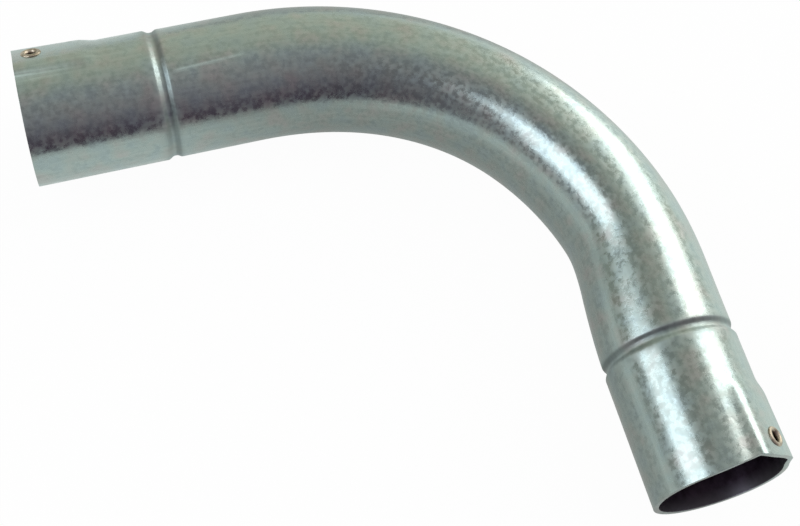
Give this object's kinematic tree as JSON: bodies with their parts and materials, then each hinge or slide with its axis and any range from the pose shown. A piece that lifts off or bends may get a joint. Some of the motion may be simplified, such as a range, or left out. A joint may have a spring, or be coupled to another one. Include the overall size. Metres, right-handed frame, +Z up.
{
  "type": "pipe bend",
  "caption": "Zinc-plated steel conduit bend of 90 degrees with a plug-in socket at each end, a rolled stop groove and a pressed seat with a brass eyelet at each socket.",
  "frame": {"origin": "centre of the footprint of the bend as it lies on its side, on the surface it lies on", "axes": "+Z up, square to the plane of the bend; leg A opens towards -X and leg B opens towards -Y"},
  "size_m": [0.1632, 0.1598, 0.036],
  "materials": {
    "zinc_plated_steel": "zinc plated and passivated, satin with fine mottling",
    "eyelet_brass": "plain rolled brass",
    "leaf_bronze": "plain rolled spring bronze"
  },
  "bodies": {
    "root": {"bend_tube": "zinc_plated_steel", "eyelet_a": "eyelet_brass", "eyelet_b": "eyelet_brass", "contact_leaf_a": "leaf_bronze", "contact_leaf_b": "leaf_bronze"}
  },
  "joints": []
}
